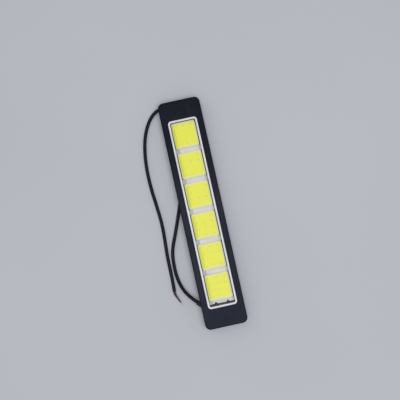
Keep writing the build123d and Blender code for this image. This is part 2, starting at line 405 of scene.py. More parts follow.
# Fine moulded grain: a pebbled height and a slow shade that drifts over the surface
grainSet = {
    "pebble": {"Smoothness": 0.6},
    "cloud": {"Detail": 3.0, "Roughness": 0.55},
    "slow": {"Detail": 2.0, "Roughness": 0.5},
    "pebbleShare": 0.6,
    "shade": (0.3, 0.7),
}


def makeGrain():
    group, start, end = newGroup("mouldGrain", ["Grain", "Drift"], ["Height", "Shade"])
    pebble = addCells(group, grainSet["pebble"])
    cloud = addNode(group, "ShaderNodeTexNoise", grainSet["cloud"])
    slow = addNode(group, "ShaderNodeTexNoise", grainSet["slow"])
    for node, scale in ((pebble, "Grain"), (cloud, "Grain"), (slow, "Drift")):
        group.links.new(start.outputs["Vector"], node.inputs["Vector"])
        group.links.new(start.outputs[scale], node.inputs["Scale"])
    share = grainSet["pebbleShare"]
    height = addMath(group, "MULTIPLY_ADD", pebble.outputs["Distance"], share, cloud.outputs["Fac"])
    group.links.new(height, end.inputs["Height"])
    group.links.new(addRamp(group, slow.outputs["Fac"], *grainSet["shade"]), end.inputs["Shade"])
    return group


# Sparse light specks, gathered in patches
dustSet = {"speckDetail": 1.0, "patchDetail": 2.0, "patchScale": 0.08, "edge": 0.04, "patch": (0.4, 0.62)}


def makeDust():
    group, start, end = newGroup("dustSpecks", ["Scale", "Cut"], ["Mask"])
    speck = addNode(group, "ShaderNodeTexNoise", {"Detail": dustSet["speckDetail"]})
    patch = addNode(group, "ShaderNodeTexNoise", {"Detail": dustSet["patchDetail"]})
    for node in (speck, patch):
        group.links.new(start.outputs["Vector"], node.inputs["Vector"])
    group.links.new(start.outputs["Scale"], speck.inputs["Scale"])
    wide = addMath(group, "MULTIPLY", start.outputs["Scale"], dustSet["patchScale"])
    group.links.new(wide, patch.inputs["Scale"])
    above = addMath(group, "SUBTRACT", speck.outputs["Fac"], start.outputs["Cut"])
    spot = addRamp(group, above, 0.0, dustSet["edge"])
    where = addRamp(group, patch.outputs["Fac"], *dustSet["patch"])
    group.links.new(addMath(group, "MULTIPLY", spot, where), end.inputs["Mask"])
    return group


# Long fine rub marks along the lamp
scuffSet = {
    "stretch": {"Scale": (4.0, 0.25, 1.0), "Rotation": (0.0, 0.0, 0.12)},
    "streak": {"Detail": 5.0, "Roughness": 0.7},
    "edge": 0.12,
}


def makeScuffs():
    group, start, end = newGroup("rubMarks", ["Scale", "Cut"], ["Mask"])
    stretch = addNode(group, "ShaderNodeMapping", scuffSet["stretch"])
    group.links.new(start.outputs["Vector"], stretch.inputs["Vector"])
    streak = addNode(group, "ShaderNodeTexNoise", scuffSet["streak"])
    group.links.new(stretch.outputs["Vector"], streak.inputs["Vector"])
    group.links.new(start.outputs["Scale"], streak.inputs["Scale"])
    above = addMath(group, "SUBTRACT", streak.outputs["Fac"], start.outputs["Cut"])
    group.links.new(addRamp(group, above, 0.0, scuffSet["edge"]), end.inputs["Mask"])
    return group


grainGroup = makeGrain()
dustGroup = makeDust()
scuffGroup = makeScuffs()

# Places that both finishes and pieces need: the mounting holes and the row of emitters
tabScrews = next(mount["dims"] for mount in frame["record"]["mounts"] if mount["name"] == "tab_screws")
bossY = tabScrews["spacing_y_mm"] / 2
firstLow, firstHigh = boxOf("emitter_1")
rowTop = (firstLow.y + firstHigh.y) / 2
rowPitch = firstLow.y - boxOf("emitter_2")[0].y
emitterHalf = (firstHigh - firstLow) / 2

# Matt black moulding with a fine grain, a few rub marks and dust, and a painted sheen that turns it paler
# and bluer towards the lower end
blackSet = {
    "deep": (0.0024, 0.0037, 0.0112),
    "worn": (0.0038, 0.0053, 0.0140),
    "paintedSheen": (0.0120, 0.0144, 0.0278),
    "paintedSheenY": (0.0, 60.0),
    "shadedSink": (0.0, 0.0, 0.0),
    "sinkSize": (0.4, 3.4),
    "sinkShadeShare": (0.14, 0.5),
    "sinkDepth": 1.2,
    "dust": (0.05, 0.05, 0.06),
    "dustShare": 0.35,
    "rubShare": 0.1,
    "rubPolish": 0.08,
    "rough": (0.50, 0.62),
    "bump": (0.35, 0.03),
    "grain": {"Grain": 2600.0, "Drift": 45.0},
    "rubMarks": {"Scale": 170.0, "Cut": 0.58},
    "specks": {"Scale": 1100.0, "Cut": 0.66},
    "sheen": 0.13,
}


def makeBlackPlastic():
    material, tree, shader, place = newMaterial("blackPlastic", blackSet["sheen"])
    grain = placeGroup(tree, grainGroup, place, blackSet["grain"])
    rub = placeGroup(tree, scuffGroup, place, blackSet["rubMarks"])["Mask"]
    dust = placeGroup(tree, dustGroup, place, blackSet["specks"])["Mask"]
    across = axisValue(tree, place, "X")
    along = axisValue(tree, place, "Y")
    # painted sheen: a paler, bluer tone over the lower half, standing in for the lamps' reflection
    paintedSheen = addRamp(tree, along, *inMetres(blackSet["paintedSheenY"]), 1.0, 0.0)
    colour = addMix(tree, grain["Shade"], blackSet["deep"], blackSet["worn"])
    colour = addMix(tree, paintedSheen, colour, blackSet["paintedSheen"])
    colour = addLayer(tree, rub, blackSet["rubShare"], colour, blackSet["dust"])
    colour = addLayer(tree, dust, blackSet["dustShare"], colour, blackSet["dust"])
    # shallow sink marks where the bosses meet the front wall, dented by the bump and darkened with painted
    # shade, fainter at the lower end
    fromBoss = addMath(tree, "SUBTRACT", addMath(tree, "ABSOLUTE", along), bossY * mm)
    middle, rim = inMetres(blackSet["sinkSize"])
    shadedSink = addRamp(tree, addDistance(tree, across, fromBoss), middle, rim, 1.0, 0.0)
    share = addRamp(tree, along, -rim, rim, *blackSet["sinkShadeShare"])
    colour = addLayer(tree, shadedSink, share, colour, blackSet["shadedSink"])
    tree.links.new(colour, shader.inputs["Base Color"])
    rough = addRamp(tree, grain["Shade"], 0.0, 1.0, *blackSet["rough"])
    polished = addMath(tree, "MULTIPLY_ADD", rub, -blackSet["rubPolish"], rough)
    tree.links.new(polished, shader.inputs["Roughness"])
    height = addMath(tree, "MULTIPLY_ADD", shadedSink, -blackSet["sinkDepth"], grain["Height"])
    addBump(tree, shader, height, *blackSet["bump"])
    return material


# White ring: clean hard plastic, a touch greyer where it has aged
whiteSet = {
    "clean": (0.71, 0.72, 0.77),
    "aged": (0.63, 0.64, 0.68),
    "dust": (0.3, 0.29, 0.28),
    "dustShare": 0.3,
    "rough": (0.28, 0.42),
    "bump": (0.15, 0.02),
    "grain": {"Grain": 3200.0, "Drift": 70.0},
    "specks": {"Scale": 1400.0, "Cut": 0.67},
    "sheen": 0.45,
}


def makeWhitePlastic():
    material, tree, shader, place = newMaterial("whitePlastic", whiteSet["sheen"])
    grain = placeGroup(tree, grainGroup, place, whiteSet["grain"])
    dust = placeGroup(tree, dustGroup, place, whiteSet["specks"])["Mask"]
    colour = addMix(tree, grain["Shade"], whiteSet["clean"], whiteSet["aged"])
    colour = addLayer(tree, dust, whiteSet["dustShare"], colour, whiteSet["dust"])
    tree.links.new(colour, shader.inputs["Base Color"])
    linkRough(tree, shader, grain["Shade"], whiteSet["rough"])
    addBump(tree, shader, grain["Height"], *whiteSet["bump"])
    return material


# Phosphor gel: bright yellow, paler towards the dam with a painted highlight strongest on the right edge,
# painted shade as a greener, darker strip along the left side, and faint dies
gelSet = {
    "yellow": (0.78, 0.79, 0.056),
    "lemon": (0.80, 0.81, 0.094),
    "shadeGreen": (0.63, 0.67, 0.050),
    "shadeGreenX": (-7.3, -5.9),
    "shadeGreenShare": 0.9,
    "pale": (0.72, 0.72, 0.40),
    "fringe": (0.2, 2.7),
    "leftPaleAndHighlight": 0.2,
    "rightPaleAndHighlight": 0.5,
    "dot": (0.60, 0.62, 0.05),
    "dotPitch": (5.5, 4.55),
    "dotSize": (0.3, 0.9),
    "dotFade": (0.2, 0.9),
    "dotShare": 0.7,
    "rough": (0.38, 0.5),
    "bump": (0.12, 0.03),
    "grain": {"Grain": 2200.0, "Drift": 130.0},
    "sheen": 0.35,
}


def emitterPlace(tree, place):
    # place across the row, and along it from the middle of the nearest emitter
    across = axisValue(tree, place, "X")
    along = axisValue(tree, place, "Y")
    pitch = rowPitch * mm
    shifted = addMath(tree, "SUBTRACT", along, rowTop * mm - pitch / 2)
    local = addMath(tree, "SUBTRACT", addMath(tree, "FLOORED_MODULO", shifted, pitch), pitch / 2)
    return across, local


def addPaleEdgeAndHighlight(tree, across, local):
    # how pale the gel and dam are, by the distance from the emitter's own edges: paler silicone near the
    # dam, with a painted highlight that is strongest along the right edge and weakest along the left
    span = inMetres(gelSet["fringe"])
    fromLeft = addMath(tree, "ADD", across, emitterHalf.x * mm)
    fromRight = addMath(tree, "SUBTRACT", emitterHalf.x * mm, across)
    fromEnd = addMath(tree, "SUBTRACT", emitterHalf.y * mm, addMath(tree, "ABSOLUTE", local))
    byLeft = addRamp(tree, fromLeft, *span, gelSet["leftPaleAndHighlight"], 0.0)
    byRight = addRamp(tree, fromRight, *span, gelSet["rightPaleAndHighlight"], 0.0)
    byEnd = addRamp(tree, fromEnd, *span, 1.0, 0.0)
    return addMath(tree, "MAXIMUM", addMath(tree, "MAXIMUM", byLeft, byRight), byEnd)


def makeEmitterGel():
    material, tree, shader, place = newMaterial("emitterGel", gelSet["sheen"])
    grain = placeGroup(tree, grainGroup, place, gelSet["grain"])
    across, local = emitterPlace(tree, place)
    stepX, stepY = inMetres(gelSet["dotPitch"])
    dotX = addMath(tree, "PINGPONG", addMath(tree, "ABSOLUTE", across), stepX / 2)
    dotY = addMath(tree, "SUBTRACT", addMath(tree, "FLOORED_MODULO", local, stepY), stepY / 2)
    dot = addRamp(tree, addDistance(tree, dotX, dotY), *inMetres(gelSet["dotSize"]), 1.0, 0.0)
    dotShare = addRamp(tree, grain["Shade"], *gelSet["dotFade"], 0.0, gelSet["dotShare"])
    # painted shade: a greener, darker strip along the left side of each emitter
    shadeStrip = addRamp(tree, across, *inMetres(gelSet["shadeGreenX"]), 1.0, 0.0)
    colour = addMix(tree, grain["Shade"], gelSet["yellow"], gelSet["lemon"])
    colour = addLayer(tree, shadeStrip, gelSet["shadeGreenShare"], colour, gelSet["shadeGreen"])
    colour = addLayer(tree, dot, dotShare, colour, gelSet["dot"])
    colour = addMix(tree, addPaleEdgeAndHighlight(tree, across, local), colour, gelSet["pale"])
    tree.links.new(colour, shader.inputs["Base Color"])
    linkRough(tree, shader, grain["Shade"], gelSet["rough"])
    addBump(tree, shader, grain["Height"], *gelSet["bump"])
    return material


# The dam that holds the gel is the same silicone, with less phosphor in it
damSet = {
    "yellow": (0.60, 0.63, 0.07),
    "pale": (0.72, 0.72, 0.42),
    "worn": (0.58, 0.58, 0.24),
    "wornShare": 0.12,
    "rough": (0.4, 0.55),
    "bump": (0.2, 0.03),
    "grain": {"Grain": 1800.0, "Drift": 220.0},
    "sheen": 0.35,
}


def makeGelDam():
    material, tree, shader, place = newMaterial("gelDam", damSet["sheen"])
    grain = placeGroup(tree, grainGroup, place, damSet["grain"])
    across, local = emitterPlace(tree, place)
    # paler near the emitter's edges, partly thinner phosphor and partly a painted highlight, strongest on
    # the right edge
    colour = addMix(tree, addPaleEdgeAndHighlight(tree, across, local), damSet["yellow"], damSet["pale"])
    colour = addLayer(tree, grain["Shade"], damSet["wornShare"], colour, damSet["worn"])
    tree.links.new(colour, shader.inputs["Base Color"])
    linkRough(tree, shader, grain["Shade"], damSet["rough"])
    addBump(tree, shader, grain["Height"], *damSet["bump"])
    return material


# White board: solder mask over hidden tracks, with a bare metal core at its edges, painted shade at the
# bar ends and painted shade in the slots beside the emitters
boardSet = {
    "mask": (0.625, 0.63, 0.62),
    "maskZ": (5.86, 5.93),
    "core": (0.55, 0.55, 0.56),
    "link": (0.44, 0.44, 0.46),
    "barEndShadeLeft": (-6.7, -6.1),
    "barEndShadeRight": (7.3, 7.9),
    "barEndShadeRightShare": 0.7,
    "barEndShadeHeight": 0.6,
    "slot": (0.05, 0.05, 0.045),
    "slotX": (8.7, 8.95),
    "slotY": (9.7, 10.1),
    "dust": (0.25, 0.24, 0.23),
    "dustShare": 0.35,
    "rough": (0.32, 0.48),
    "bump": (0.2, 0.03),
    "grain": {"Grain": 2000.0, "Drift": 160.0},
    "specks": {"Scale": 1500.0, "Cut": 0.66},
    "sheen": 0.4,
}


def makeBoard():
    material, tree, shader, place = newMaterial("whiteBoard", boardSet["sheen"])
    grain = placeGroup(tree, grainGroup, place, boardSet["grain"])
    dust = placeGroup(tree, dustGroup, place, boardSet["specks"])["Mask"]
    onTop = addRamp(tree, axisValue(tree, place, "Z"), *inMetres(boardSet["maskZ"]))
    # painted shade at both ends of each bar, where the window walls shade the board, with a slight bump
    across, local = emitterPlace(tree, place)
    leftBarEndShade = addRamp(tree, across, *inMetres(boardSet["barEndShadeLeft"]), 1.0, 0.0)
    rightBarEndShade = addRamp(tree, across, *inMetres(boardSet["barEndShadeRight"]))
    link = addMath(tree, "MULTIPLY_ADD", rightBarEndShade, boardSet["barEndShadeRightShare"], leftBarEndShade)
    colour = addMix(tree, link, boardSet["mask"], boardSet["link"])
    # painted shade, near black, in the deep slots beside the emitters
    aside = addRamp(tree, addMath(tree, "ABSOLUTE", across), *inMetres(boardSet["slotX"]))
    level = addRamp(tree, addMath(tree, "ABSOLUTE", local), *inMetres(boardSet["slotY"]), 1.0, 0.0)
    colour = addLayer(tree, aside, level, colour, boardSet["slot"])
    colour = addLayer(tree, dust, boardSet["dustShare"], colour, boardSet["dust"])
    colour = addMix(tree, onTop, boardSet["core"], colour)
    tree.links.new(colour, shader.inputs["Base Color"])
    tree.links.new(addMath(tree, "SUBTRACT", 1.0, onTop), shader.inputs["Metallic"])
    linkRough(tree, shader, grain["Shade"], boardSet["rough"])
    height = addMath(tree, "MULTIPLY_ADD", link, boardSet["barEndShadeHeight"], grain["Height"])
    addBump(tree, shader, height, *boardSet["bump"])
    return material


# Vinyl of the cord and its cores, rubber and sealant, with one kind of grain and dust
vinylSet = {
    "cordVinyl": {
        "main": (0.0028, 0.0030, 0.0105),
        "rubbed": (0.0056, 0.0060, 0.0160),
        "rough": (0.42, 0.56),
        "sheen": 0.16,
    },
    "redVinyl": {
        "main": (0.140, 0.012, 0.046),
        "rubbed": (0.105, 0.010, 0.038),
        "rough": (0.30, 0.44),
        "sheen": 0.35,
    },
    "blackVinyl": {
        "main": (0.012, 0.012, 0.014),
        "rubbed": (0.026, 0.026, 0.030),
        "rough": (0.32, 0.46),
        "sheen": 0.35,
    },
    "blackRubber": {
        "main": (0.0070, 0.0075, 0.0120),
        "rubbed": (0.0135, 0.0145, 0.0210),
        "rough": (0.60, 0.78),
        "sheen": 0.25,
    },
    "blackSealant": {
        "main": (0.012, 0.012, 0.014),
        "rubbed": (0.030, 0.030, 0.034),
        "rough": (0.30, 0.5),
        "sheen": 0.3,
    },
}
vinylDetail = {
    "dust": (0.12, 0.12, 0.13),
    "dustShare": 0.2,
    "bump": (0.25, 0.03),
    "grain": {"Grain": 2400.0, "Drift": 140.0},
    "specks": {"Scale": 1300.0, "Cut": 0.66},
}


def makeVinyl(name):
    look = vinylSet[name]
    material, tree, shader, place = newMaterial(name, look["sheen"])
    grain = placeGroup(tree, grainGroup, place, vinylDetail["grain"])
    dust = placeGroup(tree, dustGroup, place, vinylDetail["specks"])["Mask"]
    colour = addMix(tree, grain["Shade"], look["main"], look["rubbed"])
    colour = addLayer(tree, dust, vinylDetail["dustShare"], colour, vinylDetail["dust"])
    tree.links.new(colour, shader.inputs["Base Color"])
    linkRough(tree, shader, grain["Shade"], look["rough"])
    addBump(tree, shader, grain["Height"], *vinylDetail["bump"])
    return material


# Bare metals: brushed plate, turned screws, solder and tinned strands
metalSet = {
    "bareAluminium": {
        "bright": (0.66, 0.67, 0.69),
        "dull": (0.52, 0.53, 0.55),
        "rough": (0.28, 0.46),
        "rubMarks": {"Scale": 260.0, "Cut": 0.46},
    },
    "screwSteel": {
        "bright": (0.58, 0.57, 0.56),
        "dull": (0.40, 0.40, 0.40),
        "rough": (0.24, 0.42),
        "rubMarks": {"Scale": 900.0, "Cut": 0.46},
    },
    "solderTin": {
        "bright": (0.62, 0.62, 0.63),
        "dull": (0.48, 0.48, 0.50),
        "rough": (0.25, 0.45),
        "rubMarks": {"Scale": 600.0, "Cut": 0.46},
    },
    "tinnedWire": {
        "bright": (0.70, 0.66, 0.60),
        "dull": (0.58, 0.47, 0.36),
        "rough": (0.25, 0.42),
        "rubMarks": {"Scale": 1500.0, "Cut": 0.46},
    },
}
metalDetail = {
    "rubShare": 0.5,
    "shadeShare": 0.5,
    "rubHeight": 0.7,
    "bump": (0.18, 0.02),
    "grain": {"Grain": 1800.0, "Drift": 90.0},
}


def makeMetal(name):
    look = metalSet[name]
    material, tree, shader, place = newMaterial(name, metallic=1.0)
    grain = placeGroup(tree, grainGroup, place, metalDetail["grain"])
    rub = placeGroup(tree, scuffGroup, place, look["rubMarks"])["Mask"]
    shade = addMath(tree, "MULTIPLY", grain["Shade"], metalDetail["shadeShare"])
    tone = addMath(tree, "MULTIPLY_ADD", rub, metalDetail["rubShare"], shade)
    tree.links.new(addMix(tree, tone, look["bright"], look["dull"]), shader.inputs["Base Color"])
    linkRough(tree, shader, tone, look["rough"])
    height = addMath(tree, "MULTIPLY_ADD", rub, metalDetail["rubHeight"], grain["Height"])
    addBump(tree, shader, height, *metalDetail["bump"])
    return material


# Soft sheets under the board and the lamp: pitted, with painted shade darkening the pits and a finer grain
# between them
softSet = {
    "thermalSheet": {
        "main": (0.42, 0.42, 0.45),
        "shadedPit": (0.33, 0.33, 0.36),
        "rough": (0.7, 0.595),
        "cells": {"Scale": 1500.0, "Smoothness": 0.35},
        "grain": {"Grain": 2550.0, "Drift": 110.0},
        "bump": (0.5, 0.05),
    },
    "greyFoam": {
        "main": (0.085, 0.085, 0.09),
        "shadedPit": (0.022, 0.022, 0.024),
        "rough": (0.92, 0.782),
        "cells": {"Scale": 2100.0, "Smoothness": 0.35},
        "grain": {"Grain": 3570.0, "Drift": 110.0},
        "bump": (0.5, 0.16),
    },
    "releaseFilm": {
        "main": (0.62, 0.09, 0.075),
        "shadedPit": (0.54, 0.07, 0.06),
        "rough": (0.3, 0.255),
        "cells": {"Scale": 380.0, "Smoothness": 0.35},
        "grain": {"Grain": 646.0, "Drift": 110.0},
        "bump": (0.5, 0.05),
    },
}
softDetail = {
    "pitEdge": (0.15, 0.55),
    "pitShadeShare": 0.7,
    "shadeShare": 0.3,
    "pitDepth": 0.8,
    "sheen": 0.3,
}


def makeSoft(name):
    look = softSet[name]
    material, tree, shader, place = newMaterial(name, softDetail["sheen"])
    cell = addCells(tree, look["cells"])
    tree.links.new(place, cell.inputs["Vector"])
    grain = placeGroup(tree, grainGroup, place, look["grain"])
    # painted shade: the pits' colour is darker where the bump dents them
    shadedPit = addRamp(tree, cell.outputs["Distance"], *softDetail["pitEdge"], 1.0, 0.0)
    shade = addMath(tree, "MULTIPLY", grain["Shade"], softDetail["shadeShare"])
    tone = addMath(tree, "MULTIPLY_ADD", shadedPit, softDetail["pitShadeShare"], shade)
    tree.links.new(addMix(tree, tone, look["main"], look["shadedPit"]), shader.inputs["Base Color"])
    linkRough(tree, shader, tone, look["rough"])
    height = addMath(tree, "MULTIPLY_ADD", shadedPit, -softDetail["pitDepth"], grain["Height"])
    addBump(tree, shader, height, *look["bump"])
    return material


blackPlastic = makeBlackPlastic()
whitePlastic = makeWhitePlastic()
emitterGel = makeEmitterGel()
gelDam = makeGelDam()
whiteBoard = makeBoard()
vinyls = {name: makeVinyl(name) for name in vinylSet}
metals = {name: makeMetal(name) for name in metalSet}
softs = {name: makeSoft(name) for name in softSet}
print("materials made")

cordSheath.data.materials.append(vinyls["cordVinyl"])

# Nodes whose own shape is right keep it and take a finish
nodeFinish = {
    "led_board": whiteBoard,
    "solder_joints": metals["solderTin"],
    "inner_lead_red": vinyls["redVinyl"],
    "inner_lead_black": vinyls["blackVinyl"],
    "core_red": vinyls["redVinyl"],
    "core_black": vinyls["blackVinyl"],
    "thermal_pad": softs["thermalSheet"],
    "back_plate": metals["bareAluminium"],
    "back_seal": vinyls["blackRubber"],
    "plate_screws": metals["screwSteel"],
    "pad_liner_1": softs["releaseFilm"],
    "pad_liner_2": softs["releaseFilm"],
    "pad_liner_3": softs["releaseFilm"],
    "pad_liner_4": softs["releaseFilm"],
}
for nodeName, finish in nodeFinish.items():
    shape = frame["nodes"][nodeName].data
    shape.materials.clear()
    shape.materials.append(finish)
print("nodes dressed:", len(nodeFinish))

# White ring, which the housing's window and step follow
ringSet = {"corner": 2.5, "cornerSteps": 12, "band": 1.45, "round": 0.4, "roundSteps": 5, "gap": 0.1}


def buildRing():
    # a rounded outline, inset and opened, then pulled up and rounded at the top
    low, high = boxOf("bezel_ring")
    dropSelection()
    bpy.ops.mesh.primitive_plane_add(size=1)
    ring = bpy.context.object
    ring.name = "whiteRing"
    bpy.ops.object.mode_set(mode="EDIT")
    bpy.ops.transform.resize(value=(high.x - low.x, high.y - low.y, 1))
    movePicked((low.x + high.x) / 2, (low.y + high.y) / 2, low.z)
    roundPicked(ringSet["corner"], ringSet["cornerSteps"], "VERTICES")
    bpy.ops.mesh.select_all(action="SELECT")
    bpy.ops.mesh.inset(thickness=ringSet["band"], depth=0)
    bpy.ops.mesh.delete(type="ONLY_FACE")
    bpy.ops.mesh.select_all(action="SELECT")
    pullPicked(0, 0, high.z - low.z)
    turnOutwards()
    pickFaces(ring, lambda place, normal: normal.z > steep and place.z > high.z - hair)
    bpy.ops.mesh.region_to_loop()
    roundPicked(ringSet["round"], ringSet["roundSteps"])
    finishPiece(ring, "bezel_ring", [whitePlastic], angle=50)


# Housing: rounded bar with the window, the ring's step, blind screw bosses and the slanting cord hole
housingSet = {
    "back": 3.0,
    "front": 9.2,
    "corner": 4.0,
    "frontRound": 1.2,
    "backBreak": 0.3,
    "pocket": {"half": (13.7, 83.0), "ceiling": 4.5, "corner": 2.0},
    "bed": {"half": 10.75, "start": -68.925, "end": 70.225, "ceiling": 6.0},
    "tabs": {
        "half": 12.2,
        "upper": (71.425, 81.5),
        "lower": (-81.5, -68.925),
        "ceiling": 7.4,
        "corner": 1.0,
    },
    "stepFloor": 8.6,
    "rib": {"thickness": 1.2, "low": 4.5},
    "boss": {"radius": 2.4, "low": 0.3, "holeTop": 6.3},
    "post": {"radius": 2.1, "low": 4.1, "x": 8.5, "steps": 32},
    "sunk": 0.4,
    "port": {"radius": 1.85, "reach": (-7.5, 4.0), "angle": 45},
    "soft": {"width": 0.14, "steps": 2, "angle": 40},
    "steps": {"corner": 12, "front": 6, "back": 2, "pocket": 8, "tabs": 4, "window": 8, "step": 10},
    "clear": (-1.0, 12.0),  # heights well below and above the body
}


def layAlongPort(piece):
    # from upright at the origin to the cord's way out through the side wall
    takeUp(piece)
    piece.rotation_euler = (0, math.radians(-90), math.radians(-housingSet["port"]["angle"]))
    piece.location = cordSet["exit"]
    bpy.ops.object.transform_apply(location=True, rotation=True, scale=True)


def addBody():
    low, high = boxOf("housing")
    back, front, steps = housingSet["back"], housingSet["front"], housingSet["steps"]
    bodyLow, bodyHigh = (low.x, low.y, back), (high.x, high.y, front)
    body = addRoundedBlock("lampHousing", bodyLow, bodyHigh, housingSet["corner"], steps["corner"])
    pickEdges(body, lambda a, b: min(a.z, b.z) > front - hair)
    roundPicked(housingSet["frontRound"], steps["front"])
    pickEdges(body, lambda a, b: max(a.z, b.z) < back + hair)
    roundPicked(housingSet["backBreak"], steps["back"])
    dropSelection()
    return body


def cutBody(body):
    # pocket for the plate, bed for the board, hollow tabs, window and the ring's step
    under, over = housingSet["clear"]
    steps = housingSet["steps"]

    def cutBlock(low, high, corner, kind):
        useTool(body, addRoundedBlock("cutTool", low, high, corner, steps[kind]), "DIFFERENCE")

    pocket = housingSet["pocket"]
    halfX, halfY = pocket["half"]
    cutBlock((-halfX, -halfY, under), (halfX, halfY, pocket["ceiling"]), pocket["corner"], "pocket")
    bed = housingSet["bed"]
    bedLow, bedHigh = (-bed["half"], bed["start"], under), (bed["half"], bed["end"], bed["ceiling"])
    useTool(body, addBlock("cutTool", bedLow, bedHigh), "DIFFERENCE")
    tabs = housingSet["tabs"]
    for start, end in (tabs["upper"], tabs["lower"]):
        tabLow, tabHigh = (-tabs["half"], start, under), (tabs["half"], end, tabs["ceiling"])
        cutBlock(tabLow, tabHigh, tabs["corner"], "tabs")
    ring = boxOf("bezel_ring")[1]
    halfX, halfY = ring.x - ringSet["band"], ring.y - ringSet["band"]
    cutBlock((-halfX, -halfY, under), (halfX, halfY, over), ringSet["corner"] - ringSet["band"], "window")
    halfX, halfY = ring.x + ringSet["gap"], ring.y + ringSet["gap"]
    stepLow, stepHigh = (-halfX, -halfY, housingSet["stepFloor"]), (halfX, halfY, over)
    cutBlock(stepLow, stepHigh, ringSet["corner"] + ringSet["gap"], "step")


def fillTabs(body):
    # ribs, bosses and posts inside the tabs, sunk a little into the skin above
    tabs, rib, boss, post = (housingSet[name] for name in ("tabs", "rib", "boss", "post"))
    roof = tabs["ceiling"] + housingSet["sunk"]
    thick = rib["thickness"] / 2
    wide = tabs["half"] + housingSet["sunk"]
    upperStart = tabs["upper"][0] - housingSet["sunk"]
    for low, high in (
        ((-wide, bossY - thick, rib["low"]), (wide, bossY + thick, roof)),
        ((-wide, -bossY - thick, rib["low"]), (wide, -bossY + thick, roof)),
        ((-thick, upperStart, rib["low"]), (thick, bossY, roof)),
    ):
        useTool(body, addBlock("ribTool", low, high), "UNION")
    for y in (-bossY, bossY):
        useTool(body, addPost("bossTool", (0, y), boss["radius"], boss["low"], roof), "UNION")
        for x in (-post["x"], post["x"]):
            tool = addPost("postTool", (x, y), post["radius"], post["low"], roof, post["steps"])
            useTool(body, tool, "UNION")
        hole = addPost("holeTool", (0, y), tabScrews["hole_r_mm"], housingSet["clear"][0], boss["holeTop"])
        useTool(body, hole, "DIFFERENCE")


def buildHousing():
    body = addBody()
    cutBody(body)
    fillTabs(body)
    port, soft = housingSet["port"], housingSet["soft"]
    tool = addPost("portTool", (0, 0), port["radius"], *port["reach"])
    layAlongPort(tool)
    useTool(body, tool, "DIFFERENCE")
    softening = {
        "width": soft["width"],
        "segments": soft["steps"],
        "limit_method": "ANGLE",
        "angle_limit": math.radians(soft["angle"]),
        "use_clamp_overlap": True,
    }
    applyModifier(body, "BEVEL", softening)
    finishPiece(body, "housing", [blackPlastic])


buildHousing()
print("housing done")
buildRing()
print("ring done")

# Emitters: a silicone dam round a shallow slab of gel, with the dies telegraphing through it
emitterSet = {
    "count": 6,
    "corner": 1.8,
    "cornerSteps": 8,
    "edge": 0.18,
    "edgeSteps": 3,
    "dam": 0.7,
    "well": 0.2,
    "gelSunk": 0.1,
    "gelDepth": 0.3,
    "gelOverlap": 0.1,
    "cells": (30, 34),
    "dies": (3, 4),
    "dieSize": 1.15,
    "dieRise": 0.05,
}


def addGel(low, high):
    # the gel reaches a little into the dam, and stands up over each die
    middle = (low + high) / 2
    dropSelection()
    cellsX, cellsY = emitterSet["cells"]
    bpy.ops.mesh.primitive_grid_add(x_subdivisions=cellsX, y_subdivisions=cellsY, size=1)
    gel = bpy.context.object
    inside = 2 * (emitterSet["dam"] - emitterSet["gelOverlap"])
    bpy.ops.object.mode_set(mode="EDIT")
    bpy.ops.transform.resize(value=(high.x - low.x - inside, high.y - low.y - inside, 1))
    movePicked(middle.x, middle.y, high.z - emitterSet["gelSunk"])
    columns, rows = emitterSet["dies"]
    stepX, stepY = gelSet["dotPitch"]
    half = emitterSet["dieSize"] / 2
    spots = [
        (middle.x + (column - (columns - 1) / 2) * stepX, middle.y + (row - (rows - 1) / 2) * stepY)
        for column in range(columns)
        for row in range(rows)
    ]

    def overDie(place, normal):
        return any(abs(place.x - x) < half and abs(place.y - y) < half for x, y in spots)

    pickFaces(gel, overDie)
    movePicked(0, 0, emitterSet["dieRise"])
    bpy.ops.mesh.select_all(action="SELECT")
    pullPicked(0, 0, -emitterSet["gelDepth"])
    turnOutwards()
    dropSelection()
    return gel


def addEmitter(low, high):
    corner, steps = emitterSet["corner"], emitterSet["cornerSteps"]
    block = addRoundedBlock("emitterBlock1", low, high, corner, steps)
    pickFaces(block, lambda place, normal: normal.z > steep)
    bpy.ops.mesh.inset(thickness=emitterSet["dam"], depth=0)
    movePicked(0, 0, -emitterSet["well"])
    pickEdges(block, lambda a, b: min(a.z, b.z) > high.z - hair)
    roundPicked(emitterSet["edge"], emitterSet["edgeSteps"], clamp=True)
    gel = addGel(low, high)
    gel.data.materials.append(emitterGel)
    block.data.materials.append(gelDam)
    useTool(block, gel, "UNION")
    return block


def buildEmitters():
    nodes = [f"emitter_{number}" for number in range(1, emitterSet["count"] + 1)]
    first = addEmitter(*boxOf(nodes[0]))
    for node, block in zip(nodes, copyToNodes(first, "emitterBlock", nodes)):
        finishPiece(block, node, [gelDam, emitterGel])


buildEmitters()
print("emitters done")

# Sealant: a bead pressed into the slot, ragged where it runs on to the board and drawn out over the joints
sealantSet = {
    "columns": 44,
    "crest": 6.75,
    "firstPull": 0.05,
    "reach": 0.10,
    "slowWave": (0.10, 0.35),
    "quickWave": (0.14, 3.7),
    "leastReach": -0.1,
    "jointX": (-4.5, 4.5),
    "lobeHalf": 0.95,
    "lobeReach": 1.45,
    "lobeBlunt": 0.6,
    "lobeRise": 0.42,
    "smoothing": 2,
}


def beadEdge(x):
    # how far the bead has run on to the board
    slow, slowTurn = sealantSet["slowWave"]
    quick, quickTurn = sealantSet["quickWave"]
    reach = sealantSet["reach"] - slow * math.sin(slowTurn * x) + quick * math.sin(quickTurn * x)
    for jointX in sealantSet["jointX"]:
        near = abs(x - jointX) / sealantSet["lobeHalf"]
        if near < 1:
            further = sealantSet["lobeReach"] - sealantSet["reach"]
            reach += further * math.cos(near * math.pi / 2) ** sealantSet["lobeBlunt"]
    return max(reach, sealantSet["leastReach"])


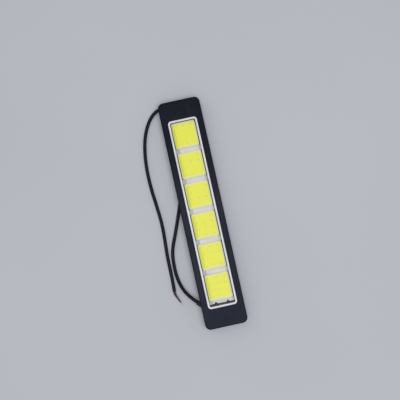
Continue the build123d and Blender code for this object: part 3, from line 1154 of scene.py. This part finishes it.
def buildSealant():
    low, high = boxOf("lead_sealant")
    boardLow, boardHigh = boxOf("led_board")
    edgeY, boardZ = boardLow.y, boardHigh.z
    bead = addBlock("sealantBead", (low.x, low.y, low.z), (high.x, edgeY, boardZ))
    pickEdges(bead, lambda a, b: abs(a.x - b.x) > hair)
    bpy.ops.mesh.subdivide(number_cuts=sealantSet["columns"] - 1)
    pickFaces(bead, lambda place, normal: normal.z > steep)
    pullPicked(0, 0, sealantSet["crest"] - boardZ)
    # the part above the board runs out over it by a different length at each column
    pickFaces(bead, lambda place, normal: normal.y > steep and place.z > boardZ)
    pullPicked(0, sealantSet["firstPull"], 0)
    width = (high.x - low.x) / sealantSet["columns"]
    for column in range(sealantSet["columns"] + 1):
        x = low.x + column * width
        pickPoints(bead, lambda point: abs(point.x - x) < hair and point.y > edgeY + hair)
        movePicked(0, beadEdge(x), 0)
    half = sealantSet["lobeHalf"]
    for jointX in sealantSet["jointX"]:
        pickPoints(bead, lambda point: point.z > boardZ + hair and abs(point.x - jointX) < half)
        movePicked(0, 0, sealantSet["lobeRise"])
    pickEdges(bead, lambda a, b: max(a.y, b.y) < low.y + hair)
    bpy.ops.transform.edge_crease(value=1)
    turnOutwards()
    levels = sealantSet["smoothing"]
    applyModifier(bead, "SUBSURF", {"levels": levels, "render_levels": levels})
    finishPiece(bead, "lead_sealant", [vinyls["blackSealant"]], angle=60)


buildSealant()
print("sealant done")

# Rubber sleeve round the cord, with two grooves where it stands out of the wall and a drawn-in lip
sleeveSet = {
    "radius": 1.8,
    "sides": 56,
    "bore": 1.3,
    "boreSpare": 1.0,
    "inside": 4.5,
    "outside": 2.8,
    "grooves": (1.05, 1.85),
    "grooveWidth": 0.3,
    "grooveDepth": 0.22,
    "grooveWall": 0.06,
    "lip": [(0.25, 1.0), (0.07, 0.95), (0.0, 0.95)],  # distance from the end, and how much narrower
}


def buildSleeve():
    dropSelection()
    bpy.ops.mesh.primitive_circle_add(
        vertices=sleeveSet["sides"], radius=sleeveSet["radius"], fill_type="NGON"
    )
    sleeve = bpy.context.object
    sleeve.name = "cordSleeve"
    bpy.ops.object.mode_set(mode="EDIT")
    level = -sleeveSet["inside"]
    movePicked(0, 0, level)
    waist = 1 - sleeveSet["grooveDepth"] / sleeveSet["radius"]
    rings = []
    for groove in sleeveSet["grooves"]:
        end = groove + sleeveSet["grooveWidth"]
        rings += [(groove - sleeveSet["grooveWall"], 1), (groove, waist)]
        rings += [(end, 1), (end + sleeveSet["grooveWall"], 1 / waist)]
    rings += [(sleeveSet["outside"] - back, factor) for back, factor in sleeveSet["lip"]]
    for height, factor in rings:
        pullPicked(0, 0, height - level)
        bpy.ops.transform.resize(value=(factor, factor, 1))
        level = height
    turnOutwards()
    spare = sleeveSet["boreSpare"]
    ends = (-sleeveSet["inside"] - spare, sleeveSet["outside"] + spare)
    useTool(sleeve, addPost("boreTool", (0, 0), sleeveSet["bore"], *ends), "DIFFERENCE")
    layAlongPort(sleeve)
    finishPiece(sleeve, "cable_grommet", [vinyls["blackRubber"]], angle=30)
    return sleeve


cordSleeve = buildSleeve()
print("sleeve done")

# Bare ends: six tinned strands twisted round a seventh
strandSet = {
    "around": 6,
    "strandRadius": 0.098,
    "sides": 10,
    "bundleRadius": 0.2,
    "length": 2.2,
    "lengths": 3,  # each a little shorter than the one before
    "shorter": 0.03,
    "tip": {"thickness": 0.03, "depth": 0.02},
    "cuts": 11,
    "twist": 150,
    "ends": [
        ((-29.86, -61.25, 1.44), (1.20, -3.14, 0.06)),
        ((-30.04, -61.25, 0.46), (1.50, -3.16, -0.04)),
    ],
}


def addStrand(index):
    angle = 2 * math.pi * index / strandSet["around"]
    reach = strandSet["bundleRadius"] if index < strandSet["around"] else 0
    length = strandSet["length"] * (1 - strandSet["shorter"] * (index % strandSet["lengths"]))
    spot = (reach * math.cos(angle), reach * math.sin(angle))
    strand = addPost("strand", spot, strandSet["strandRadius"], 0, length, strandSet["sides"])
    bpy.ops.object.mode_set(mode="EDIT")
    pickEdges(strand, lambda a, b: abs(a.z - b.z) > hair)
    bpy.ops.mesh.subdivide(number_cuts=strandSet["cuts"])
    pickFaces(strand, lambda place, normal: normal.z > steep)
    bpy.ops.mesh.inset(**strandSet["tip"])
    bpy.ops.object.mode_set(mode="OBJECT")
    return strand


def addBundle():
    bundle = joinPieces([addStrand(index) for index in range(strandSet["around"] + 1)])
    twist = {"deform_method": "TWIST", "deform_axis": "Z", "angle": math.radians(strandSet["twist"])}
    applyModifier(bundle, "SIMPLE_DEFORM", twist)
    return bundle


def buildStrands():
    first = addBundle()
    bundles = [first, copyPiece(first, "strandCopy", (0, 0, 0))]
    for bundle, (place, heading) in zip(bundles, strandSet["ends"]):
        takeUp(bundle)
        bundle.rotation_mode = "QUATERNION"
        bundle.rotation_quaternion = Vector(heading).to_track_quat("Z", "Y")
        bundle.location = place
        bpy.ops.object.transform_apply(location=True, rotation=True, scale=True)
    ends = joinPieces(bundles)
    ends.name = "strandEnds"
    finishPiece(ends, "wire_ends", [metals["tinnedWire"]], angle=40)
    return ends


strandEnds = buildStrands()
print("strands done")

# Foam pads: cut blocks whose sides belly out a little between the plate and the film
foamSet = {"count": 4, "corner": 0.8, "cornerSteps": 5, "belly": 0.12, "layers": 5, "fill": 0.9}


def addPad(low, high):
    middle = (low + high) / 2
    half = (high - low) / 2
    pad = addRoundedBlock("foamBlock1", low, high, foamSet["corner"], foamSet["cornerSteps"])
    pickEdges(pad, lambda a, b: abs(a.z - b.z) > half.z)
    bpy.ops.mesh.subdivide(number_cuts=foamSet["layers"])
    for layer in range(1, foamSet["layers"] + 1):
        share = layer / (foamSet["layers"] + 1)
        level = low.z + (high.z - low.z) * share
        bulge = foamSet["belly"] * math.sin(math.pi * share)
        pickPoints(pad, lambda point: abs(point.z - level) < hair)
        stretch = (1 + bulge / half.x, 1 + bulge / half.y, 1)
        bpy.ops.transform.resize(value=stretch, center_override=(middle.x, middle.y, level))
    return pad


def buildFoam():
    nodes = [f"foam_pad_{number}" for number in range(1, foamSet["count"] + 1)]
    first = addPad(*boxOf(nodes[0]))
    for node, pad in zip(nodes, copyToNodes(first, "foamBlock", nodes)):
        finishPiece(pad, node, [softs["greyFoam"]], angle=50)


buildFoam()
print("foam done")

# Pale floor, one large soft light with a weak second one, and an even surround, all in metres
stageSet = {
    "floorSize": 8.0,
    "floorZ": -0.00002,
    "floor": (0.515, 0.53, 0.58),
    "floorShade": (0.475, 0.49, 0.54),
    "cloud": {"Scale": 5.0, "Detail": 2.0},
    "rough": 0.85,
    "sheen": 0.1,
    "keyLight": {"place": (0.10, -0.18, 1.18), "size": 0.9, "power": 8.0},
    "fillLight": {"place": (-0.5, 0.6, 0.9), "size": 1.0, "power": 1.2},
    "surround": {"Color": (1, 1, 1, 1), "Strength": 0.42},
}


def addFloor():
    dropSelection()
    bpy.ops.mesh.primitive_plane_add(size=stageSet["floorSize"], location=(0, 0, stageSet["floorZ"]))
    floor = bpy.context.object
    floor.name = "paleFloor"
    material, tree, shader, place = newMaterial("paleFloor", stageSet["sheen"])
    shader.inputs["Roughness"].default_value = stageSet["rough"]
    cloud = addNode(tree, "ShaderNodeTexNoise", stageSet["cloud"])
    tree.links.new(place, cloud.inputs["Vector"])
    colour = addMix(tree, cloud.outputs["Fac"], stageSet["floor"], stageSet["floorShade"])
    tree.links.new(colour, shader.inputs["Base Color"])
    floor.data.materials.append(material)


def addSoftLight(name):
    look = stageSet[name]
    bpy.ops.object.light_add(type="AREA", location=look["place"])
    light = bpy.context.object
    light.name = name
    light.data.shape = "DISK"
    light.data.size = look["size"]
    light.data.energy = look["power"]
    light.rotation_euler = (-Vector(look["place"])).to_track_quat("-Z", "Y").to_euler()


def addSurround():
    world = bpy.data.worlds.new("evenSurround")
    scene.world = world
    world.use_nodes = True
    setInputs(world.node_tree.nodes["Background"], stageSet["surround"])


addFloor()
addSoftLight("keyLight")
addSoftLight("fillLight")
addSurround()
dropSelection()
print("stage set")
